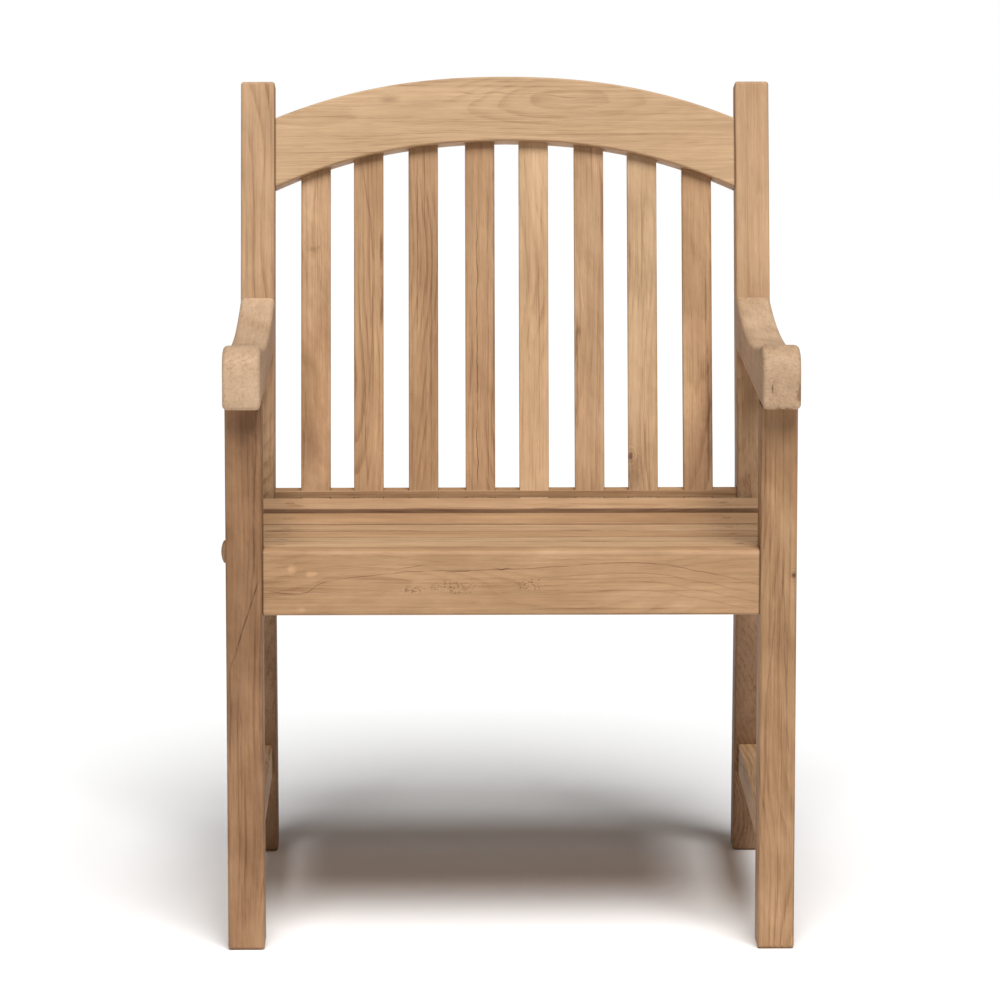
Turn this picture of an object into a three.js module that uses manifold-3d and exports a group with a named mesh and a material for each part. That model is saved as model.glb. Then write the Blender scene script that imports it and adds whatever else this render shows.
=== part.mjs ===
// A garden armchair in unfinished teak, built the joiner's way: mortise-and-tenon frame,
// slatted arched back, dished slatted seat and scrolled arms. Millimetres, +Z up.
// X is zero on the centre plane, Z is zero on the floor, +Y points to the back and Y is
// zero at mid depth. Inside the chair group Y is counted from the front legs' front faces.

import * as THREE from "three";
import { mergeVertices } from "three/addons/utils/BufferGeometryUtils.js";
import Module from "manifold-3d";

const wasm = await Module();
wasm.setup();

// ---- Driving dimensions ----------------------------------------------------------------

const FIT = 0.3; // air kept between pieces that touch
const CURVE_SEGMENTS = 20; // straight steps in each curve of an outline
const INNER_HALF = 261.5; // centre plane to a leg's inner face
const LEG_WIDTH = 38.5; // every leg, across X
const OUTER_HALF = INNER_HALF + LEG_WIDTH;

// Front legs
const FRONT_LEG_DEPTH = 55;
const FRONT_LEG_HEIGHT = 580; // shoulder under the arm
const FOOT_CHAMFER = 4;
const ARM_TENON = { width: 20, depth: 32, height: 30 };

// Rear legs: a raked post above the knee, a foot that kicks back below it
const RAKE = THREE.MathUtils.degToRad(13.5);
const KNEE = { y: 441, z: 420 }; // where the front edge turns
const KNEE_DEPTH = 55;
const KNEE_BLEND = 70; // length of each straight edge that the knee's curve takes up
const REAR_FOOT = { front: 492, back: 537 };
const POST_TOP = 881; // height of the post's front top corner
const POST_TOP_DEPTH = 36; // square to the rake

// Crest rail, measured up the raked back from the knee
const CREST = {
  thickness: 34,
  setback: 1.5, // behind the posts' front faces
  topMiddle: 480,
  topEnd: 432.5,
  underMiddle: 406.5,
  underEnd: 353,
};

// Back slats
const BACK_SLATS = 8;
const BACK_SLAT = { width: 33.5, thickness: 12, intoCrest: 12, intoRail: 16 };
const SLAT_SHIFTS = [1.4, -0.5, -0.3, 2.2, 1.3, 2.3, 1, 1.4]; // their spacing varies, as set by hand

// Lower back rail
const BACK_RAIL = { front: 453, thickness: 26, bottom: 355, top: 425 };

// Front apron
const APRON = { front: 2, thickness: 25, bottom: 359.5, top: 429, nosing: 8, rearChamfer: 2 };

// Side rails and stretchers
const SIDE_RAIL = { thickness: 27, bottom: 343 };
const STRETCHER = { thickness: 27, inset: 5.5, bottom: 91.5, top: 127.5 };

// Seat: slats lie across a scoop cut into the side rails and bearers
const SEAT_SLAT = { width: 60, gap: 8, thickness: 18, halfLength: 286, first: 38 };
const NOTCH_PLAY = 3; // behind the front legs, in the front slat
const SCOOP_SLATS = 5; // slats that follow the scoop, counted from the front
const SCOOP = [
  [30, 428], // [distance from the leg face, height of the slats' top faces]
  [102, 422.5],
  [170, 416.5],
  [238, 412.5],
  [306, 409.5],
  [374, 412.5],
];
const REAR_SHELF = { front: 374, frontTop: 416.2, back: 440, backTop: 419 };

// Seat bearers, screwed to the inner faces of the side rails
const BEARER = { thickness: 36, bottom: 372, front: 34, back: 440, screwRise: 11 };
const BEARER_SCREWS = [102, 374];

// Arms: the top dips from the post and rises again to a scroll over the front leg
const ARM = {
  width: 40,
  underside: FRONT_LEG_HEIGHT + FIT,
  overhang: 24, // of the scroll in front of the leg
  rearTop: 640,
  dishPull: 616, // height that the dish's curve is drawn towards
  dishReach: 148,
  scrollFoot: { y: 45, z: 639 }, // where the dish ends and the scroll begins
  scrollCrown: { y: 15, z: 646.4 }, // draws the scroll's top over
  scrollBrow: 650, // draws the scroll's nose up
  scrollFace: 615, // where the scroll's nose turns into its upright face
};

// Fasteners
const SCREW = { shank: 2, head: 4, headDepth: 3, length: 28 };
const LONG_SCREW = { shank: 2, head: 4, headDepth: 3, length: 44 };
const PLUG = { radius: 5, depth: 6 };
const BUTTON = { radius: 12, rim: 2, proud: 5.5, spigot: 6, depth: 14, y: 27.5, z: 424 };

// Tenons
const TENON = 12; // thickness of every rail's tenon
const TENON_LENGTH = 24;
const TENON_ROOT = 4; // how far a tenon's block reaches back into its own board
const TENON_SHOULDER = 6; // left above and below a stretcher's tenon
const TENON_SPANS = {
  apron: [369, 420], // lowest and highest edge of each tenon
  railFront: [353, 397],
  railRear: [351, 383],
  backRail: [388, 418],
  arm: [594, 626],
  crest: [367, 420], // up the rake from the knee
};
const RAIL_TENON = { front: 28, rear: 34 }; // their lengths into the two legs
const ARM_REAR_TENON = { root: 12, length: 16 };

// ---- Materials -------------------------------------------------------------------------

const TEAK = {
  frame: 0xa98763,
  back: 0xc7a27a,
  seat: 0xb8946c,
  arm: 0xc9a780,
  plug: 0x9c7650,
};

function teak(shade) {
  return new THREE.MeshStandardMaterial({ color: shade, roughness: 0.72, metalness: 0 });
}

function steel() {
  return new THREE.MeshStandardMaterial({ color: 0xb9bbbd, roughness: 0.35, metalness: 1 });
}

// ---- Solids ----------------------------------------------------------------------------

const X_AXIS = new THREE.Vector3(1, 0, 0);
const Y_AXIS = new THREE.Vector3(0, 1, 0);
const Z_AXIS = new THREE.Vector3(0, 0, 1);
const TO_THE_FRONT = new THREE.Vector3(0, -1, 0);

const SIDES = [
  { name: "left", sign: -1 },
  { name: "right", sign: 1 },
];

// A span is a [low, high] pair. This one lies on the given side of the centre plane.
function sideSpan(sign, inner, outer) {
  return sign > 0 ? [inner, outer] : [-outer, -inner];
}

function grown([low, high]) {
  return [low - FIT, high + FIT];
}

function block(x, y, z) {
  const box = new THREE.BoxGeometry(x[1] - x[0], y[1] - y[0], z[1] - z[0]);
  return box.translate((x[0] + x[1]) / 2, (y[0] + y[1]) / 2, (z[0] + z[1]) / 2);
}

// The hole that a block needs round it.
function hollow(x, y, z) {
  return block(grown(x), grown(y), grown(z));
}

function extruded(outline, depth) {
  const curveSegments = CURVE_SEGMENTS;
  return new THREE.ExtrudeGeometry(outline, { depth, bevelEnabled: false, curveSegments });
}

// An outline drawn in (Y, Z), swept across a span of X.
function sweptAcross(outline, x) {
  const solid = extruded(outline, x[1] - x[0]);
  solid.applyMatrix4(new THREE.Matrix4().makeBasis(Y_AXIS, Z_AXIS, X_AXIS));
  return solid.translate(x[0], 0, 0);
}

// An outline drawn in (X, Z), swept through a span of Y.
function sweptBack(outline, y) {
  const solid = extruded(outline, y[1] - y[0]);
  solid.applyMatrix4(new THREE.Matrix4().makeBasis(X_AXIS, Z_AXIS, TO_THE_FRONT));
  return solid.translate(0, y[1], 0);
}

// A closed profile of [radius, height] points turned about the Z axis.
function turned(profile, sides) {
  const points = profile.map(([radius, height]) => new THREE.Vector2(radius, height));
  return new THREE.LatheGeometry(points, sides).rotateX(Math.PI / 2);
}

function toSolid(geometry) {
  const bare = geometry.clone();
  bare.deleteAttribute("normal");
  bare.deleteAttribute("uv");
  const merged = mergeVertices(bare, 1e-4);
  const vertProperties = new Float32Array(merged.attributes.position.array);
  const triVerts = new Uint32Array(merged.index.array);
  return new wasm.Manifold(new wasm.Mesh({ numProp: 3, vertProperties, triVerts }));
}

function toGeometry(solid) {
  const mesh = solid.getMesh();
  const geometry = new THREE.BufferGeometry();
  geometry.setAttribute("position", new THREE.BufferAttribute(mesh.vertProperties, 3));
  geometry.setIndex(new THREE.BufferAttribute(mesh.triVerts, 1));
  return geometry;
}

// Joins the additions to a piece, then cuts the tools out of it.
function worked(geometry, additions, tools) {
  let solid = toSolid(geometry);
  for (const addition of additions) {
    solid = solid.add(toSolid(addition));
  }
  for (const tool of tools) {
    solid = solid.subtract(toSolid(tool));
  }
  return toGeometry(solid);
}

function piece(name, geometry, material) {
  geometry.computeVertexNormals();
  const mesh = new THREE.Mesh(geometry, material);
  mesh.name = name;
  return mesh;
}

// The height of a curve that runs from low x to high x, at one x.
function heightOn(curve, x) {
  const points = curve.getPoints(200);
  const next = points.findIndex((point) => point.x >= x);
  if (next < 1) {
    return points.at(next).y;
  }
  const [a, b] = [points[next - 1], points[next]];
  return a.y + ((b.y - a.y) * (x - a.x)) / (b.x - a.x);
}

// ---- The raked back's own axes ---------------------------------------------------------

const back = new THREE.Group();
back.position.set(0, KNEE.y, KNEE.z);
back.rotation.x = -RAKE;
back.updateMatrix();

// The post's front face at a height above the knee, and the leg's front face below it.
function postFront(z) {
  return KNEE.y + (z - KNEE.z) * Math.tan(RAKE);
}

function shinFront(z) {
  return KNEE.y + ((REAR_FOOT.front - KNEE.y) * (KNEE.z - z)) / KNEE.z;
}

const TOP_FRONT = [postFront(POST_TOP), POST_TOP];
const TOP_BACK = [
  TOP_FRONT[0] + POST_TOP_DEPTH * Math.cos(RAKE),
  POST_TOP - POST_TOP_DEPTH * Math.sin(RAKE),
];

// ---- Tenons, each written once and used by the piece and by its mortise -----------------

const apronMiddle = APRON.front + APRON.thickness / 2;
const railMiddle = INNER_HALF + FIT + SIDE_RAIL.thickness / 2;
const stretcherMiddle = INNER_HALF + STRETCHER.inset + STRETCHER.thickness / 2;
const legMiddle = INNER_HALF + LEG_WIDTH / 2;
const backRailMiddle = BACK_RAIL.front + BACK_RAIL.thickness / 2;

function about(middle, size) {
  return [middle - size / 2, middle + size / 2];
}

function acrossSide(sign, middle, size) {
  return sideSpan(sign, middle - size / 2, middle + size / 2);
}

// Each is [x span, y span, z span], on one side of the chair.
const tenons = {
  apron: (sign) => [
    sideSpan(sign, INNER_HALF - TENON_ROOT, INNER_HALF + TENON_LENGTH),
    about(apronMiddle, TENON),
    TENON_SPANS.apron,
  ],
  armOnLeg: (sign) => [
    acrossSide(sign, legMiddle, ARM_TENON.width),
    about(FRONT_LEG_DEPTH / 2, ARM_TENON.depth),
    [FRONT_LEG_HEIGHT - TENON_ROOT, FRONT_LEG_HEIGHT + ARM_TENON.height],
  ],
  railFront: (sign) => [
    acrossSide(sign, railMiddle, TENON),
    [FRONT_LEG_DEPTH - RAIL_TENON.front, FRONT_LEG_DEPTH + TENON_ROOT],
    TENON_SPANS.railFront,
  ],
  railRear: (sign) => [
    acrossSide(sign, railMiddle, TENON),
    [KNEE.y - TENON_ROOT, KNEE.y + RAIL_TENON.rear],
    TENON_SPANS.railRear,
  ],
  stretcherFront: (sign) => [
    acrossSide(sign, stretcherMiddle, TENON),
    [FRONT_LEG_DEPTH - TENON_LENGTH, FRONT_LEG_DEPTH + TENON_ROOT],
    [STRETCHER.bottom + TENON_SHOULDER, STRETCHER.top - TENON_SHOULDER],
  ],
  stretcherRear: (sign) => [
    acrossSide(sign, stretcherMiddle, TENON),
    [shinFront(STRETCHER.top) - TENON_ROOT, shinFront(STRETCHER.top) + TENON_LENGTH],
    [STRETCHER.bottom + TENON_SHOULDER, STRETCHER.top - TENON_SHOULDER],
  ],
  backRail: (sign) => [
    sideSpan(sign, INNER_HALF - TENON_ROOT, INNER_HALF + TENON_LENGTH),
    about(backRailMiddle, TENON),
    TENON_SPANS.backRail,
  ],
  armRear: (sign) => {
    const [bottom, top] = TENON_SPANS.arm;
    const y = [postFront(bottom) - ARM_REAR_TENON.root, postFront(top) + ARM_REAR_TENON.length];
    return [acrossSide(sign, legMiddle, TENON), y, TENON_SPANS.arm];
  },
  // In the raked back's own axes
  crest: (sign) => [
    sideSpan(sign, INNER_HALF - TENON_ROOT, INNER_HALF + TENON_LENGTH),
    about(CREST.setback + CREST.thickness / 2, TENON),
    TENON_SPANS.crest,
  ],
};

// ---- Legs ------------------------------------------------------------------------------

function footedOutline(front, backEdge, top) {
  const outline = new THREE.Shape();
  outline.moveTo(front + FOOT_CHAMFER, 0);
  outline.lineTo(backEdge - FOOT_CHAMFER, 0);
  outline.lineTo(backEdge, FOOT_CHAMFER);
  outline.lineTo(backEdge, top);
  outline.lineTo(front, top);
  outline.lineTo(front, FOOT_CHAMFER);
  outline.closePath();
  return outline;
}

function frontLeg({ name, sign }) {
  const outline = footedOutline(0, FRONT_LEG_DEPTH, FRONT_LEG_HEIGHT);
  const post = sweptAcross(outline, sideSpan(sign, INNER_HALF, OUTER_HALF));
  const mortises = [
    hollow(...tenons.apron(sign)),
    hollow(...tenons.railFront(sign)),
    hollow(...tenons.stretcherFront(sign)),
  ];
  if (name === "left") {
    mortises.push(buttonHole());
  }
  const leg = worked(post, [block(...tenons.armOnLeg(sign))], mortises);
  return piece(`front_leg_${name}`, leg, teak(TEAK.frame));
}

// The point at a distance from one corner towards another.
function towards([ay, az], [by, bz], distance) {
  const share = distance / Math.hypot(by - ay, bz - az);
  return [ay + (by - ay) * share, az + (bz - az) * share];
}

function rearLegOutline() {
  const kneeFront = [KNEE.y, KNEE.z];
  const kneeBack = [KNEE.y + KNEE_DEPTH, KNEE.z - KNEE_DEPTH * Math.tan(RAKE / 2)];
  const footFront = [REAR_FOOT.front, 0];
  const footBack = [REAR_FOOT.back, 0];
  const outline = new THREE.Shape();
  outline.moveTo(footFront[0] + FOOT_CHAMFER, 0);
  outline.lineTo(footBack[0] - FOOT_CHAMFER, 0);
  outline.lineTo(...towards(footBack, kneeBack, FOOT_CHAMFER));
  outline.lineTo(...towards(kneeBack, footBack, KNEE_BLEND));
  outline.quadraticCurveTo(...kneeBack, ...towards(kneeBack, TOP_BACK, KNEE_BLEND));
  outline.lineTo(...TOP_BACK);
  outline.lineTo(...TOP_FRONT);
  outline.lineTo(...towards(kneeFront, TOP_FRONT, KNEE_BLEND));
  outline.quadraticCurveTo(...kneeFront, ...towards(kneeFront, footFront, KNEE_BLEND));
  outline.lineTo(...towards(footFront, kneeFront, FOOT_CHAMFER));
  outline.closePath();
  return outline;
}

function rearLeg({ name, sign }) {
  const post = sweptAcross(rearLegOutline(), sideSpan(sign, INNER_HALF, OUTER_HALF));
  const mortises = [
    hollow(...tenons.crest(sign)).applyMatrix4(back.matrix),
    hollow(...tenons.backRail(sign)),
    hollow(...tenons.railRear(sign)),
    hollow(...tenons.stretcherRear(sign)),
    hollow(...tenons.armRear(sign)),
  ];
  return piece(`rear_leg_${name}`, worked(post, [], mortises), teak(TEAK.frame));
}

// ---- Arched back -----------------------------------------------------------------------

// Where an arch's curve is drawn to, as shares of its half width and of its drop
const ARCH = { crown: 0.43, shoulder: 0.72, fall: 0.38 };

// Half an arch, from the middle out to a post: flat at first, then falling away.
function halfArch(middle, end, half) {
  const drop = middle - end;
  return new THREE.CubicBezierCurve(
    new THREE.Vector2(0, middle),
    new THREE.Vector2(ARCH.crown * half, middle),
    new THREE.Vector2(ARCH.shoulder * half, middle - ARCH.fall * drop),
    new THREE.Vector2(half, end),
  );
}

const crestHalf = INNER_HALF - FIT;
const crestTop = halfArch(CREST.topMiddle, CREST.topEnd, crestHalf);
const crestUnder = halfArch(CREST.underMiddle, CREST.underEnd, crestHalf);
const slatGap = (2 * INNER_HALF - BACK_SLATS * BACK_SLAT.width) / (BACK_SLATS + 1);
const slatDepth = about(CREST.setback + CREST.thickness / 2, BACK_SLAT.thickness);

function crestOutline() {
  const right = crestUnder.getPoints(CURVE_SEGMENTS);
  const left = right.slice(1).reverse();
  const topRight = crestTop.getPoints(CURVE_SEGMENTS);
  const outline = new THREE.Shape(left.map((p) => new THREE.Vector2(-p.x, p.y)));
  right.forEach((p) => outline.lineTo(p.x, p.y));
  topRight.toReversed().forEach((p) => outline.lineTo(p.x, p.y));
  topRight.slice(1).forEach((p) => outline.lineTo(-p.x, p.y));
  outline.closePath();
  return outline;
}

// One back slat's spans, in the raked back's own axes.
function backSlatSpans(index) {
  const even = -INNER_HALF + slatGap + index * (BACK_SLAT.width + slatGap);
  const left = even + SLAT_SHIFTS[index];
  const x = [left, left + BACK_SLAT.width];
  const nearest = Math.min(Math.abs(x[0]), Math.abs(x[1]));
  const top = heightOn(crestUnder, nearest) + BACK_SLAT.intoCrest;
  const middle = (slatDepth[0] + slatDepth[1]) / 2;
  const railTop = (BACK_RAIL.top - KNEE.z + middle * Math.sin(RAKE)) / Math.cos(RAKE);
  return [x, slatDepth, [railTop - BACK_SLAT.intoRail, top]];
}

const backSlats = Array.from({ length: BACK_SLATS }, (_, index) => backSlatSpans(index));

function crestRail() {
  const y = [CREST.setback, CREST.setback + CREST.thickness];
  const board = sweptBack(crestOutline(), y);
  const ends = SIDES.map(({ sign }) => block(...tenons.crest(sign)));
  const mortises = backSlats.map((spans) => hollow(...spans));
  return piece("crest_rail", worked(board, ends, mortises), teak(TEAK.back));
}

function lowerBackRail() {
  const x = [-INNER_HALF + FIT, INNER_HALF - FIT];
  const y = [BACK_RAIL.front, BACK_RAIL.front + BACK_RAIL.thickness];
  const board = block(x, y, [BACK_RAIL.bottom, BACK_RAIL.top]);
  const ends = SIDES.map(({ sign }) => block(...tenons.backRail(sign)));
  const mortises = backSlats.map((spans) => hollow(...spans).applyMatrix4(back.matrix));
  return piece("lower_back_rail", worked(board, ends, mortises), teak(TEAK.back));
}

back.add(crestRail());
backSlats.forEach((spans, index) => {
  back.add(piece(`back_slat_${index + 1}`, block(...spans), teak(TEAK.back)));
});

// ---- Seat frame ------------------------------------------------------------------------

const scoop = new THREE.SplineCurve(SCOOP.map(([y, z]) => new THREE.Vector2(y, z)));
const REAR_SLAT = SCOOP_SLATS;
const SEAT_SLATS = SCOOP_SLATS + 1;

// Where a seat slat's front top edge is, and its tilt up towards the back.
function seatSlatPlace(index) {
  const front = SEAT_SLAT.first + index * (SEAT_SLAT.width + SEAT_SLAT.gap);
  if (index === REAR_SLAT) {
    const rise = REAR_SHELF.backTop - REAR_SHELF.frontTop;
    const slope = rise / (REAR_SHELF.back - REAR_SHELF.front);
    const z = REAR_SHELF.frontTop + slope * (front - REAR_SHELF.front);
    return { y: front, z, tilt: Math.atan(slope) };
  }
  const z = heightOn(scoop, front);
  const rise = heightOn(scoop, front + SEAT_SLAT.width) - z;
  return { y: front, z, tilt: Math.atan(rise / SEAT_SLAT.width) };
}

const seatSlats = Array.from({ length: SEAT_SLATS }, (_, index) => {
  const place = seatSlatPlace(index);
  const group = new THREE.Group();
  group.position.set(0, place.y, place.z);
  group.rotation.x = place.tilt;
  group.updateMatrix();
  return group;
});

// The top edge that rails and bearers share, under the slats, from front to back.
function scoopedEdge(front, rear) {
  const drop = SEAT_SLAT.thickness + FIT;
  const curve = scoop.getPoints(40).filter((p) => p.x > front && p.x < REAR_SHELF.front);
  return [
    [front, heightOn(scoop, front) - drop],
    ...curve.map((p) => [p.x, p.y - drop]),
    [REAR_SHELF.front, heightOn(scoop, REAR_SHELF.front) - drop],
    [REAR_SHELF.front + FIT, REAR_SHELF.frontTop - drop],
    [rear, REAR_SHELF.backTop - drop],
  ];
}

function scoopedOutline(bottomFront, bottomBack, front, rear, bottom) {
  const outline = new THREE.Shape();
  outline.moveTo(bottomFront, bottom);
  outline.lineTo(bottomBack, bottom);
  scoopedEdge(front, rear)
    .reverse()
    .forEach((point) => outline.lineTo(...point));
  outline.closePath();
  return outline;
}

function screwHole(kind, depth) {
  const hole = [
    [0, FIT],
    [kind.shank + FIT, FIT],
    [kind.shank + FIT, -depth],
    [0, -depth],
  ];
  return turned(hole.reverse(), 12);
}

function counterbore(depth) {
  const bore = [
    [0, -depth],
    [PLUG.radius + FIT, -depth],
    [PLUG.radius + FIT, 1],
    [0, 1],
  ];
  return turned(bore, 16);
}

// A countersunk wood screw, head up, with the head's top at zero.
const HEAD_RIM = 0.4; // thickness of a countersunk head's edge
const SCREW_SIDES = 10;

function screwGeometry(kind) {
  const profile = [
    [0, -kind.length],
    [kind.shank, -kind.length + 2 * kind.shank],
    [kind.shank, -kind.headDepth],
    [kind.head, -HEAD_RIM],
    [kind.head, 0],
    [0, 0],
  ];
  return turned(profile, SCREW_SIDES);
}

const screwX = INNER_HALF - BEARER.thickness / 2;
const screwTop = -PLUG.depth - FIT;
const boreDepth = PLUG.depth + FIT + SCREW.headDepth + FIT;

// The holes that one slat's screws need, as the bearer under it sees them.
function pilotHoles(sign) {
  return seatSlats.map((group) => {
    const hole = screwHole(SCREW, SCREW.length + 1);
    hole.translate(sign * screwX, SEAT_SLAT.width / 2, screwTop);
    return hole.applyMatrix4(group.matrix);
  });
}

// Bearer screws lie along X, heads towards the centre plane.
function bearerScrewPlace(y) {
  return { x: INNER_HALF - BEARER.thickness - screwTop, y, z: BEARER.bottom + BEARER.screwRise };
}

function laidOutwards(geometry, sign, { x, y, z }) {
  geometry.rotateY((-sign * Math.PI) / 2);
  return geometry.translate(sign * x, y, z);
}

function sideRail({ name, sign }) {
  const inner = INNER_HALF + FIT;
  const rearTop = KNEE.y - FIT;
  const front = FRONT_LEG_DEPTH + FIT;
  const rearBottom = shinFront(SIDE_RAIL.bottom) - FIT;
  const outline = scoopedOutline(front, rearBottom, front, rearTop, SIDE_RAIL.bottom);
  const board = sweptAcross(outline, sideSpan(sign, inner, inner + SIDE_RAIL.thickness));
  const ends = [block(...tenons.railFront(sign)), block(...tenons.railRear(sign))];
  const holes = BEARER_SCREWS.map((y) =>
    laidOutwards(screwHole(LONG_SCREW, LONG_SCREW.length + 1), sign, bearerScrewPlace(y)),
  );
  return piece(`side_rail_${name}`, worked(board, ends, holes), teak(TEAK.frame));
}

function bearer({ name, sign }) {
  const outer = INNER_HALF;
  const outline = scoopedOutline(
    BEARER.front,
    BEARER.back,
    BEARER.front,
    BEARER.back,
    BEARER.bottom,
  );
  const board = sweptAcross(outline, sideSpan(sign, outer - BEARER.thickness, outer));
  const crossHoles = BEARER_SCREWS.flatMap((y) => {
    const place = bearerScrewPlace(y);
    const mouth = counterbore(boreDepth).translate(0, 0, -screwTop);
    return [
      laidOutwards(screwHole(LONG_SCREW, LONG_SCREW.length + 1), sign, place),
      laidOutwards(mouth, sign, place),
    ];
  });
  const holes = [...pilotHoles(sign), ...crossHoles];
  return piece(`seat_bearer_${name}`, worked(board, [], holes), teak(TEAK.seat));
}

function sideStretcher({ name, sign }) {
  const inner = INNER_HALF + STRETCHER.inset;
  const front = FRONT_LEG_DEPTH + FIT;
  const outline = new THREE.Shape();
  outline.moveTo(front, STRETCHER.bottom);
  outline.lineTo(shinFront(STRETCHER.bottom) - FIT, STRETCHER.bottom);
  outline.lineTo(shinFront(STRETCHER.top) - FIT, STRETCHER.top);
  outline.lineTo(front, STRETCHER.top);
  outline.closePath();
  const bar = sweptAcross(outline, sideSpan(sign, inner, inner + STRETCHER.thickness));
  const ends = [block(...tenons.stretcherFront(sign)), block(...tenons.stretcherRear(sign))];
  return piece(`side_stretcher_${name}`, worked(bar, ends, []), teak(TEAK.frame));
}

function frontApron() {
  const rear = APRON.front + APRON.thickness;
  const outline = new THREE.Shape();
  outline.moveTo(APRON.front, APRON.bottom);
  outline.lineTo(rear, APRON.bottom);
  outline.lineTo(rear, APRON.top - APRON.rearChamfer);
  outline.lineTo(rear - APRON.rearChamfer, APRON.top);
  outline.lineTo(APRON.front + APRON.nosing, APRON.top);
  outline.quadraticCurveTo(APRON.front, APRON.top, APRON.front, APRON.top - APRON.nosing);
  outline.closePath();
  const board = sweptAcross(outline, [-INNER_HALF + FIT, INNER_HALF - FIT]);
  const ends = SIDES.map(({ sign }) => block(...tenons.apron(sign)));
  return piece("front_apron", worked(board, ends, []), teak(TEAK.seat));
}

// ---- Seat slats, with their screws and plugs --------------------------------------------

function seatSlat(index) {
  const y = [0, SEAT_SLAT.width];
  const x = [-SEAT_SLAT.halfLength, SEAT_SLAT.halfLength];
  const board = block(x, y, [-SEAT_SLAT.thickness, 0]);
  const holes = SIDES.flatMap(({ sign }) => [
    counterbore(boreDepth).translate(sign * screwX, SEAT_SLAT.width / 2, 0),
    screwHole(SCREW, SCREW.length).translate(sign * screwX, SEAT_SLAT.width / 2, screwTop),
  ]);
  if (index === 0) {
    // The front slat is notched round the front legs.
    const notch = FRONT_LEG_DEPTH - SEAT_SLAT.first + NOTCH_PLAY;
    for (const { sign } of SIDES) {
      const across = sideSpan(sign, INNER_HALF - 1, SEAT_SLAT.halfLength + 1);
      holes.push(block(across, [-1, notch], [-SEAT_SLAT.thickness - 1, 1]));
    }
  }
  return piece(`seat_slat_${index + 1}`, worked(board, [], holes), teak(TEAK.seat));
}

function slatScrew(index, { name, sign }) {
  const screw = piece(`slat_screw_${index + 1}_${name}`, screwGeometry(SCREW), steel());
  screw.position.set(sign * screwX, SEAT_SLAT.width / 2, screwTop);
  return screw;
}

function slatPlug(index, { name, sign }) {
  const profile = [
    [0, -PLUG.depth],
    [PLUG.radius, -PLUG.depth],
    [PLUG.radius, 0],
    [0, 0],
  ];
  const plug = piece(`slat_plug_${index + 1}_${name}`, turned(profile, 16), teak(TEAK.plug));
  plug.position.set(sign * screwX, SEAT_SLAT.width / 2, 0);
  return plug;
}

seatSlats.forEach((group, index) => {
  group.add(seatSlat(index));
  for (const side of SIDES) {
    group.add(slatScrew(index, side));
    group.add(slatPlug(index, side));
  }
});

function bearerScrew({ name, sign }, number) {
  const place = bearerScrewPlace(BEARER_SCREWS[number]);
  const geometry = laidOutwards(screwGeometry(LONG_SCREW), sign, place);
  return piece(`bearer_screw_${number + 1}_${name}`, geometry, steel());
}

// ---- Arms ------------------------------------------------------------------------------

function armOutline() {
  const nose = -ARM.overhang;
  const shoulder = postFront(ARM.rearTop) - FIT;
  const dishRear = shoulder - ARM.dishReach;
  const dishFront = ARM.scrollFoot.y + ARM.dishReach;
  const { y: footY, z: footZ } = ARM.scrollFoot;
  const outline = new THREE.Shape();
  outline.moveTo(postFront(ARM.underside) - FIT, ARM.underside);
  outline.lineTo(shoulder, ARM.rearTop);
  outline.bezierCurveTo(dishRear, ARM.dishPull, dishFront, ARM.dishPull, footY, footZ);
  const { y: crownY, z: crownZ } = ARM.scrollCrown;
  outline.bezierCurveTo(crownY, crownZ, nose, ARM.scrollBrow, nose, ARM.scrollFace);
  outline.lineTo(nose, ARM.underside);
  outline.closePath();
  return outline;
}

// Narrows an arm's outer face towards the post, where the two are flush.
function taperOuterFace(geometry, sign) {
  const position = geometry.attributes.position;
  const middle = INNER_HALF + ARM.width / 2;
  for (let i = 0; i < position.count; i += 1) {
    if (sign * position.getX(i) > middle) {
      const share = THREE.MathUtils.clamp(position.getY(i) / postFront(ARM.rearTop), 0, 1);
      position.setX(i, sign * (INNER_HALF + ARM.width - share * (ARM.width - LEG_WIDTH)));
    }
  }
  return geometry;
}

function arm({ name, sign }) {
  const span = sideSpan(sign, INNER_HALF, INNER_HALF + ARM.width);
  const board = taperOuterFace(sweptAcross(armOutline(), span), sign);
  const end = block(...tenons.armRear(sign));
  const mortise = hollow(...tenons.armOnLeg(sign));
  return piece(`arm_${name}`, worked(board, [end], [mortise]), teak(TEAK.arm));
}

// ---- Button on the left front leg --------------------------------------------------------

function laidOnLeftLeg(geometry) {
  return geometry.rotateY(-Math.PI / 2).translate(-OUTER_HALF, BUTTON.y, BUTTON.z);
}

function buttonHole() {
  const profile = [
    [0, -BUTTON.depth - FIT],
    [BUTTON.spigot + FIT, -BUTTON.depth - FIT],
    [BUTTON.spigot + FIT, 1],
    [0, 1],
  ];
  return laidOnLeftLeg(turned(profile, 20));
}

function legButton() {
  const dome = [1, 2, 3, 4].map((step) => {
    const angle = (step * Math.PI) / 8;
    const rise = (BUTTON.proud - BUTTON.rim) * Math.sin(angle);
    return [BUTTON.radius * Math.cos(angle), BUTTON.rim + rise];
  });
  dome[3][0] = 0;
  const profile = [
    [0, -BUTTON.depth],
    [BUTTON.spigot, -BUTTON.depth],
    [BUTTON.spigot, FIT],
    [BUTTON.radius, FIT],
    [BUTTON.radius, BUTTON.rim],
    ...dome,
  ];
  return piece("leg_button", laidOnLeftLeg(turned(profile, 24)), teak(TEAK.plug));
}

// ---- The chair ---------------------------------------------------------------------------

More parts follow.
